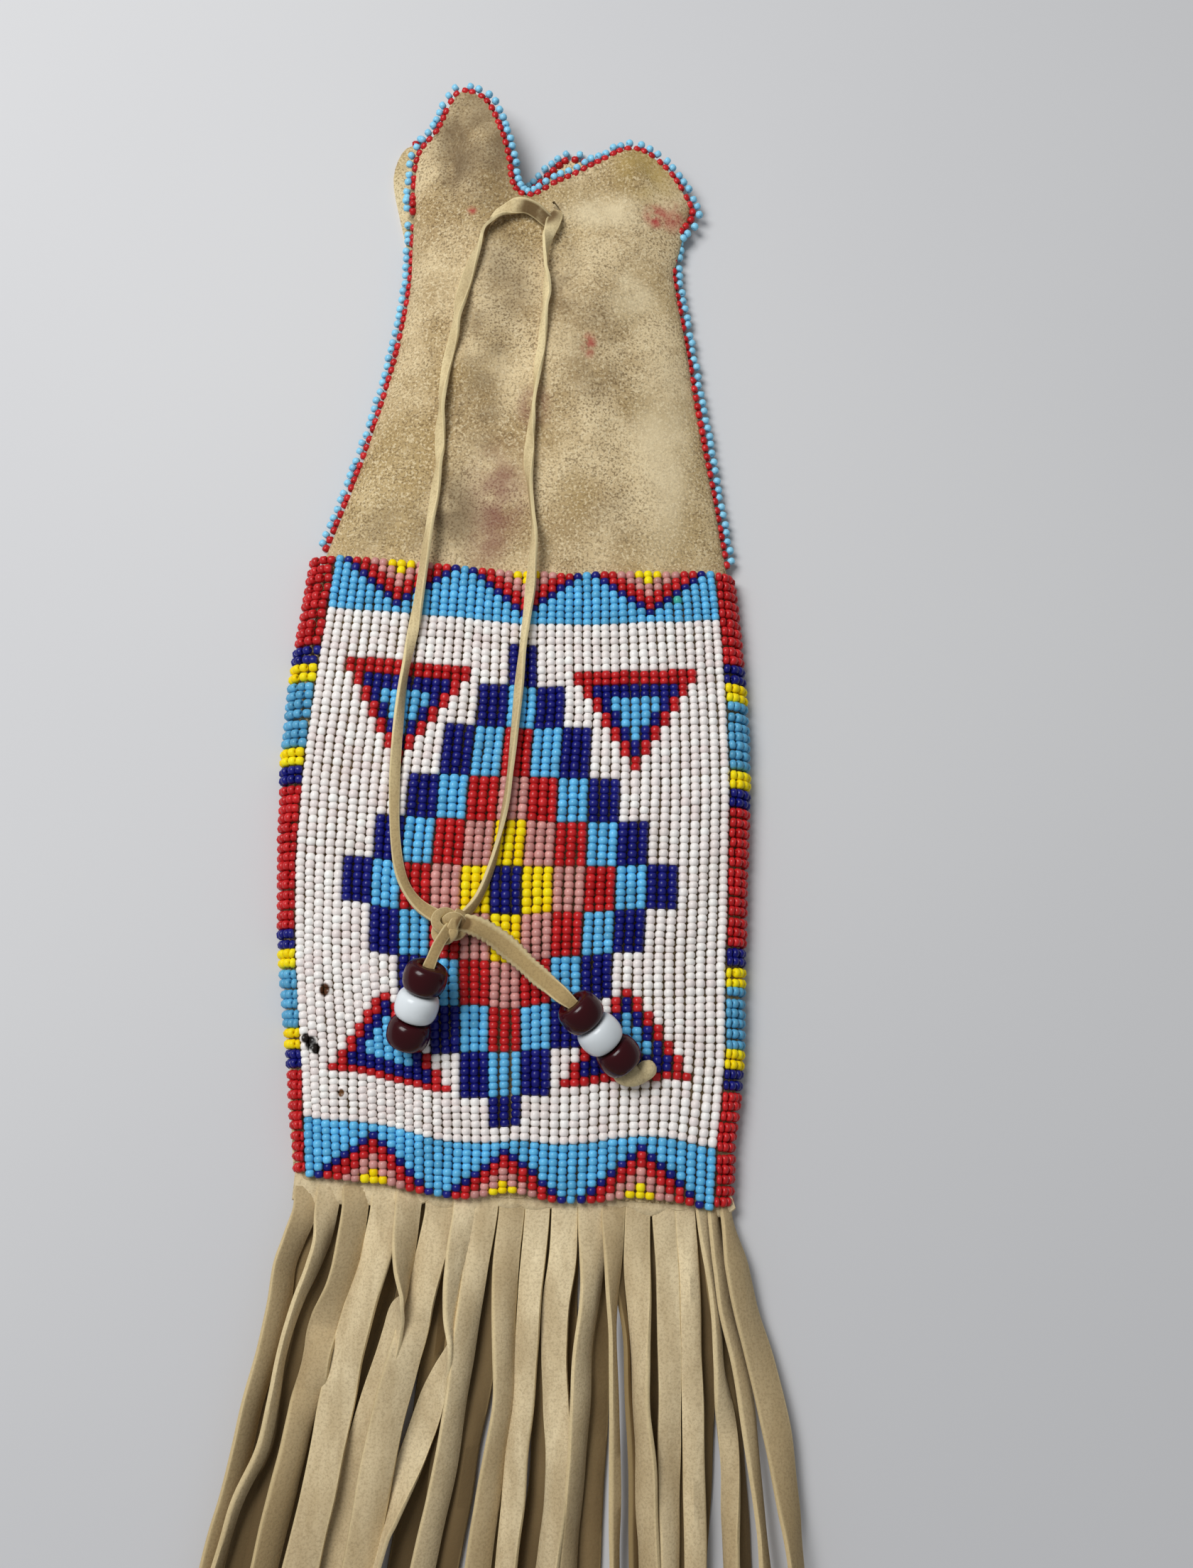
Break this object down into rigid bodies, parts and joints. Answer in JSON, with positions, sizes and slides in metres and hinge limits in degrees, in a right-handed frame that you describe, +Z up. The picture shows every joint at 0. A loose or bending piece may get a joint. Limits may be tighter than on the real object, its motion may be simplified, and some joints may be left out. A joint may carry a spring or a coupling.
{
  "type": "leather pipe bag",
  "caption": "Long flat leather pouch with eared mouth, beaded front with stepped diamond, beaded edges, long cut fringe and a tied thong with large beads; holds a pipe and pouch goods.",
  "frame": {"origin": "on the ground under the middle of the beadwork, on the underside of the back panel", "axes": "+Z up out of the beaded face, +Y from the fringe to the mouth, +X to the right across the bag seen from above"},
  "size_m": [0.1349, 0.437, 0.0256],
  "materials": {
    "leather": "napped buckskin, soft and matt",
    "fringe_leather": "smooth side of soft hide, matt",
    "thong_leather": "soft hide thong, matt",
    "white_beads": "opaque glass seed beads, gloss",
    "blue_beads": "opaque glass seed beads, gloss",
    "navy_beads": "opaque glass seed beads, gloss",
    "red_beads": "opaque glass seed beads, gloss",
    "yellow_beads": "opaque glass seed beads, gloss",
    "maroon_crow_beads": "opaque dark glass, high gloss",
    "white_crow_beads": "opaque white glass, high gloss"
  },
  "bodies": {
    "root": {"back_panel": "leather", "front_panel": "leather", "triangle_upper_left": "red_beads", "triangle_lower_left": "red_beads", "triangle_upper_right": "red_beads", "triangle_lower_right": "red_beads", "diamond_centre": "yellow_beads", "diamond_middle_band": "red_beads", "diamond_outer_band": "navy_beads", "beaded_ground": "white_beads", "zigzag_tooth_top_left": "red_beads", "zigzag_tooth_top_middle": "red_beads", "zigzag_tooth_top_right": "red_beads", "zigzag_band_top": "blue_beads", "zigzag_tooth_bottom_left": "red_beads", "zigzag_tooth_bottom_middle": "red_beads", "zigzag_tooth_bottom_right": "red_beads", "zigzag_band_bottom": "blue_beads", "side_lane_left": "red_beads", "side_lane_right": "red_beads", "seam_beading_left": "blue_beads", "seam_beading_right": "blue_beads", "mouth_beading_front": "blue_beads", "mouth_beading_back": "blue_beads", "fringe_front": "fringe_leather", "fringe_back": "fringe_leather", "thong_left_tail": "thong_leather", "thong_right_tail": "thong_leather", "thong_knot": "thong_leather", "crow_bead_left_1": "maroon_crow_beads", "crow_bead_left_2": "white_crow_beads", "crow_bead_left_3": "maroon_crow_beads", "thong_left_end": "thong_leather", "crow_bead_right_1": "maroon_crow_beads", "crow_bead_right_2": "white_crow_beads", "crow_bead_right_3": "maroon_crow_beads", "thong_right_end": "thong_leather", "thong_end_knot": "thong_leather"}
  },
  "joints": []
}
